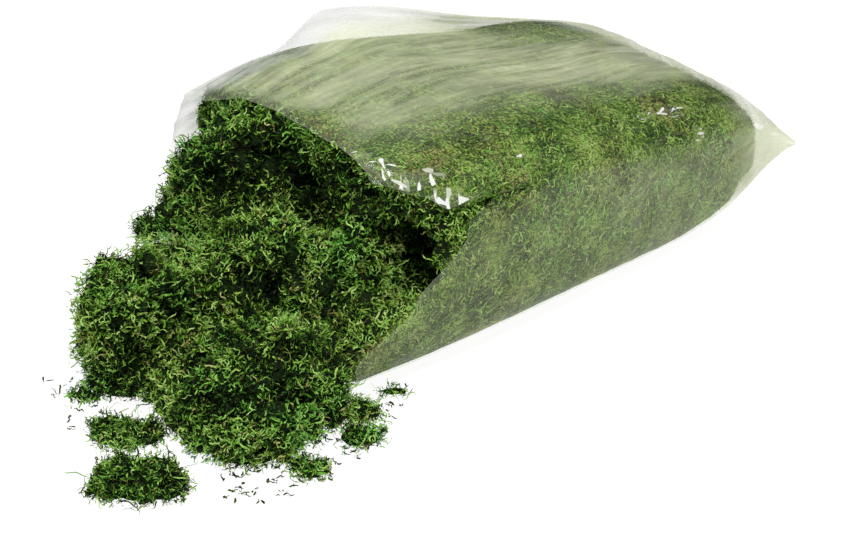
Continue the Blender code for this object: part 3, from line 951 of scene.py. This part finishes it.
def packed_fronds(core, weights, sunk, flat, rng):
    """Fronds of the moss in the bag, pressed flat under the film or loose where it is bare, as one batch."""
    sprig, rings = (1, PACK_FLAT_RINGS) if flat else (SPRIG, FROND_RINGS)
    total = PACK_FLAT_FRONDS if flat else int(weights.sum() * PACK_LOOSE_PER_M2) // sprig
    roots, outwards, chosen = sample(core, weights, total, sprig, rng)
    count = len(roots)
    lengths = rng.uniform(*FROND_LENGTH, count)
    widths = (PACK_FLAT_WIDTH if flat else FROND_WIDTH) * rng.uniform(*WIDTH_RANGE, count)
    lift = np.full(count, 0.02) if flat else np.abs(rng.normal(*LIFT, count))
    curl = rng.uniform(*(FLAT_CURL if flat else CURL), count)
    level = 0.0004 + (0.0 if flat else FROND_LEVELS) * rng.random(count)
    starts = roots + outwards * level[:, None]
    shapes, _, heights = frond_strips(starts, outwards, rng, lengths, widths, lift, curl, rings, sprig)
    if flat:
        pressed = 0.0001 + 0.0006 * rng.random(count)
        shapes += (pressed[:, None] - 0.88 * heights)[..., None] * outwards[:, None]
        # Painted light: flattened fronds on the near side are made lighter, more so towards the seam
        beside = smooth(-0.10, -0.13, roots[:, 1])
        bright = 0.16 * beside + 0.08 * beside * smooth(0.08, 0.22, roots[:, 0])
        tone = np.broadcast_to((0.42 + bright)[:, None], heights.shape)
    else:
        # Painted shade by depth and in the pit, and painted light by height over the core
        tone = 0.60 - 0.42 * sunk[chosen][:, None] + 0.40 * (how_lit(heights, level) - 0.55)
    shapes[..., 2] = np.maximum(shapes[..., 2], FROND_LEAST_Z)
    shapes = keep_in_film(shapes, PACK_INSET)
    tone = tone + (0.30 * rng.normal(size=count) + 0.32 * rough_noise(roots, 0.035, 81))[:, None]
    return shapes, strip_faces(rings), tone, frond_warmth(rng, roots, 91, sprig)


def make_packed(frame, heap, materials):
    """The moss in the bag: a felted core with flattened fronds under the film and loose ones where bare."""
    rng = np.random.default_rng(500)
    mesh, bare, depth, hidden = packed_core(frame, heap, materials["packed"])
    core = arrays_of(mesh)
    places, normals, triangles = core
    areas = triangle_areas(places, triangles)
    loose = bare[triangles].mean(axis=1)
    seen = 1 - hidden[triangles].mean(axis=1)
    below = 1 - smooth(-0.8, -0.4, normals[triangles].mean(axis=1)[:, 2])
    pit = np.linalg.norm(places[triangles].mean(axis=1) - PIT[:3], axis=1)
    # How sunk each triangle is, for the painted shade of the loose fronds; the pit gets the most
    sunk = np.clip((depth[triangles].mean(axis=1) - 0.004) / 0.008, -0.3, 1.0)
    sunk += 1.5 * (1 - smooth(0.6 * PIT[3], PIT[3], pit))
    faces = len(triangles)
    for flat in (True, False):
        weights = areas * ((1 - loose) * (1 - below) if flat else loose * seen)
        batch = packed_fronds(core, weights, sunk, flat, rng)
        name = "packed_moss_fronds" if flat else "packed_moss_loose_fronds"
        fronds, made = frond_object(name, [batch], materials["frond"])
        if flat:
            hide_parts("packed_moss")
        faces += made
    return faces


def twig(x, y, heading, length):
    """A curled twig as one strip."""
    share = np.linspace(0, 1, TWIG_POINTS)
    angle = heading + 1.5 * np.sin(share * 6.0) + 0.5 * np.sin(share * 17.0)
    ways = np.column_stack([np.cos(angle), np.sin(angle), 0.5 * np.cos(share * 9.0)])
    path = np.cumsum(ways * (length / TWIG_POINTS), axis=0) + (x, y, TWIG_Z)
    half = TWIG_WIDTH / 2 * (1.2 - share)
    side = np.column_stack([-np.sin(angle), np.cos(angle), np.zeros_like(angle)]) * half[:, None]
    pairs = np.stack([path[1:-1] - side[1:-1], path[1:-1] + side[1:-1]], axis=1).reshape(-1, 3)
    shape = np.concatenate([path[:1], pairs, path[-1:]])[None]
    shape[..., 2] = np.clip(shape[..., 2], 0.0004, 0.008)
    return shape


def make_crumbs(materials):
    """Single fronds, crumbs and curled twigs that lie on the floor round the heap."""
    rng = np.random.default_rng(900)
    middles, spreads = [], []
    for x, y, along, across, count in CRUMB_PATCHES:
        middles += [(x, y)] * count
        spreads += [(along, across)] * count
    middles, spreads = np.array(middles), np.array(spreads)
    flat = middles + spreads * rng.normal(size=middles.shape) * 0.8
    roots = np.repeat(np.column_stack([flat, np.full(len(flat), 0.0012)]), SPRIG, axis=0)
    count = len(roots)
    up = np.tile((0.0, 0.0, 1.0), (count, 1))
    lengths = rng.uniform(*CRUMB_LENGTH, count)
    widths = rng.uniform(*CRUMB_WIDTH, count)
    lift = np.abs(rng.normal(0.05, 0.15, count))
    curl = rng.uniform(0.5, 3.0, count)
    shapes, shares, _ = frond_strips(roots, up, rng, lengths, widths, lift, curl, CRUMB_RINGS)
    shapes[..., 2] = np.clip(shapes[..., 2], 0.0004, 0.004)
    tone = np.repeat((0.28 + 0.14 * rng.normal(size=count))[:, None], len(shares), axis=1)
    batches = [(shapes, strip_faces(CRUMB_RINGS), tone, rng.uniform(0.2, 0.8, count)[:, None])]
    for place in TWIGS:
        shape = twig(*place)
        tone = np.full(shape.shape[:2], 0.30)
        batches.append((shape, strip_faces(TWIG_POINTS - 2), tone, np.array([[0.6]])))
    return frond_object("floor_crumbs", batches, materials["frond"])[1]


def even_degrees(count):
    """Angles that lie evenly along the film's section, and the length of the section."""
    fine = np.linspace(0.0, 360.0, 7201)
    path = film_point(np.full(fine.shape, -0.03), fine)
    run = np.concatenate([[0.0], np.cumsum(np.linalg.norm(np.diff(path, axis=0), axis=1))])
    return np.interp(np.linspace(0, run[-1], count + 1)[:-1], run, fine), run[-1]


def film_haze(points, x, angle, inward, run):
    """How milky the film is, with painted sheen in the haze over the top, how pale its haze, and where its
    streaks run crosswise.
    """
    wavy = angle + 9.0 * rough_noise(np.stack([x * 0.6, run, x * 0], axis=-1), 0.09, 31)
    clear_lip = 0.035 + 0.050 * smooth(90, 108, angle)
    behind_lip = 0.15 + 0.85 * smooth(0.0, clear_lip, inward + 0.014 * rough_noise(points, 0.03, 33))
    # Over the top the haze is partly painted sheen of the light on the film
    haze = HAZE_LEAST + sum(most * smooth(*reach, wavy) for most, reach in HAZE_AND_SHEEN_OVER_TOP) * behind_lip
    strip = bell(wavy - STRIP_TURN * (x - STRIP_AT_X), STRIP_ANGLE, STRIP_SPREAD)
    strip *= smooth(0.03, 0.07, x) * smooth(0.29, 0.25, x)
    haze *= 1 - 0.95 * strip
    haze += 0.30 * smooth(66, 58, angle) * smooth(-0.03, -0.06, x)
    haze += 0.16 * smooth(0.02, 0.2, x) * smooth(0.29, 0.24, x) * smooth(112, 88, wavy) * (1 - strip)
    haze *= 1 - 0.55 * smooth(72, 62, angle) * smooth(-0.03, 0.01, x) * smooth(0.20, 0.14, x)
    for most, along, around in HAZE_PATCHES:
        haze += most * smooth(*along, x) * smooth(*around, wavy)
    haze += 0.10 * np.exp(-inward / 0.002)
    pale = np.clip(smooth(72, 62, angle) * smooth(0.14, 0.08, x) + 0.4 * smooth(0.295, 0.325, x), 0, 1)
    return {"haze": haze, "pale": pale, "side": smooth(150, 166, wavy) * smooth(0.0, 0.05, x)}


def make_film(material):
    """The bag's film on a fine grid, wrinkled along its length, with a ragged lip."""
    degrees, girth = even_degrees(FILM_AROUND)
    ways = np.stack([degrees * 0.05, degrees * 0, degrees * 0 + 3], axis=-1)
    ragged = LIP_RAGGED * rough_noise(ways, 0.5, 5) * smooth(3, 9, np.abs(degrees - SLIT_ANGLE))
    start = cut_x(degrees) + ragged
    x = start[None] + (SEAM_X - start[None]) * np.linspace(0.0, 1.0, FILM_ALONG + 1)[:, None]
    inward = x - start[None]
    angle = np.broadcast_to(degrees, x.shape)
    run = np.broadcast_to(np.arange(FILM_AROUND) / FILM_AROUND * girth, x.shape)
    points = film_point(x, angle)
    normal = unit(np.cross(np.gradient(points, axis=1), np.gradient(points, axis=0)))
    out_from = points - np.stack([x, np.zeros_like(x), np.full_like(x, BAG_MIDDLE_Z)], axis=-1)
    normal *= np.sign((normal * out_from).sum(axis=-1, keepdims=True))

    top, side = bell(angle, *TOP_BAND), bell(angle, *SIDE_BAND)
    flow = run + x * (0.10 * top + 0.42 * side)
    streak = 1 - 2 * np.abs(grid_noise(x * 7, flow * 75, 0, 21))
    pleat = 1 - 2 * np.abs(grid_noise(x * 9, flow * 48, 1, 22))
    crumple = np.zeros_like(x)
    for middle, at, along, around in CRUMPLES:
        crumple += np.exp(-((x - middle) / along) ** 2 - ((angle - at) / around) ** 2)
    crumple = np.clip(crumple, 0, 1)
    height = FILM_LIFT + STREAK_HEIGHT * streak * (0.4 + top) + PLEAT_HEIGHT * pleat * (0.3 + side)
    height += SWELL_HEIGHT * rough_noise(points, 0.05, 23)
    height += np.exp(-inward / LIP_REACH) * LIP_WAVE * (0.3 + grid_noise(run * 38, x * 6, 2, 24))
    height += CRUMPLE_HEIGHT * crumple * grid_noise(x * 150, run * 110, 7, 25)
    points = points + normal * (height * smooth(0.0, 0.006, points[..., 2]))[..., None]
    points[..., 2] = np.maximum(points[..., 2], FILM_LEAST_Z)

    index = np.arange(x.size).reshape(x.shape)
    after = np.roll(index, -1, axis=1)
    faces = np.stack([index[:-1], index[1:], after[1:], after[:-1]], axis=-1).reshape(-1, 4)
    values = {"along": x, "across": flow, "crumple": crumple, **film_haze(points, x, angle, inward, run)}
    values = {key: value.reshape(-1) for key, value in values.items()}
    film = make_object("film_bag", points.reshape(-1, 3), faces, material, values, smooth_shaded=True)
    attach(film, "root")
    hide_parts("plastic_bag")
    return 2 * len(faces)


def make_camera():
    a, e = math.radians(AZIMUTH), math.radians(ELEVATION)
    back = Vector((math.sin(a) * math.cos(e), -math.cos(a) * math.cos(e), math.sin(e)))
    right = Vector((math.cos(a), math.sin(a), 0.0))
    up = back.cross(right)
    across = (ANCHOR_PX[0] - FRAME_PX[0] / 2) / FOCAL_PX * DISTANCE
    above = (FRAME_PX[1] / 2 - ANCHOR_PX[1]) / FOCAL_PX * DISTANCE
    data = bpy.data.cameras.new("camera")
    data.sensor_width = SENSOR_MM
    data.lens = FOCAL_PX / FRAME_PX[0] * SENSOR_MM
    data.clip_start, data.clip_end = 0.05, 60.0
    camera = bpy.data.objects.new("camera", data)
    camera.location = Vector(ANCHOR) + back * DISTANCE - right * across - up * above
    camera.rotation_euler = Matrix((right, up, back)).transposed().to_euler()
    bpy.context.scene.collection.objects.link(camera)
    bpy.context.scene.camera = camera


def add_light(name, place, size, power):
    """A soft light that points at the heap."""
    data = bpy.data.lights.new(name, "AREA")
    data.shape = "RECTANGLE"
    data.size, data.size_y = size, size
    data.energy = power
    light = bpy.data.objects.new(name, data)
    light.location = place
    light.rotation_euler = (Vector(place) - Vector(LIGHT_TARGET)).to_track_quat("Z", "Y").to_euler()
    bpy.context.scene.collection.objects.link(light)


def make_stage():
    """A floor that partly shines by itself, so that shadows on it stay faint, a white surround and lights."""
    scene = bpy.context.scene
    corners = np.array([(-1, -1, 0), (1, -1, 0), (1, 1, 0), (-1, 1, 0)]) * FLOOR_HALF
    corners[:, 2] = FLOOR_LEVEL
    material, tree = new_material("floor")
    matt = out(tree, "BsdfDiffuse", Color=(FLOOR_GREY, FLOOR_GREY, FLOOR_GREY, 1.0))
    glow = out(tree, "Emission", Color=WHITE, Strength=FLOOR_GLOW)
    add(tree, "OutputMaterial", Surface=out(tree, "AddShader", i0=matt, i1=glow))
    floor = make_object("floor", corners, np.array([[0, 1, 2, 3]]), material)
    world = bpy.data.worlds.new("surround")
    scene.world = world
    world.use_nodes = True
    background = world.node_tree.nodes["Background"]
    background.inputs["Color"].default_value = WHITE
    background.inputs["Strength"].default_value = SURROUND
    for light in LIGHTS:
        add_light(*light)
    scene.view_settings.view_transform = "Standard"


def main():
    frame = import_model()
    make_camera()
    materials = {"frond": frond_material(), "core": core_material(), "packed": packed_material()}
    names = CLUMPS + TUFTS
    counts = {}
    for number, name in enumerate(names):
        others = tree_of([other for other in names + ("packed_moss",) if other != name], frame)
        counts[name] = make_clump(name, frame, others, materials, 100 + 13 * number)
    counts["packed_moss"] = make_packed(frame, tree_of(names, frame), materials)
    counts["film"] = make_film(film_material())
    counts["crumbs"] = make_crumbs(materials)
    make_stage()
    print("triangles", counts, sum(counts.values()))


main()
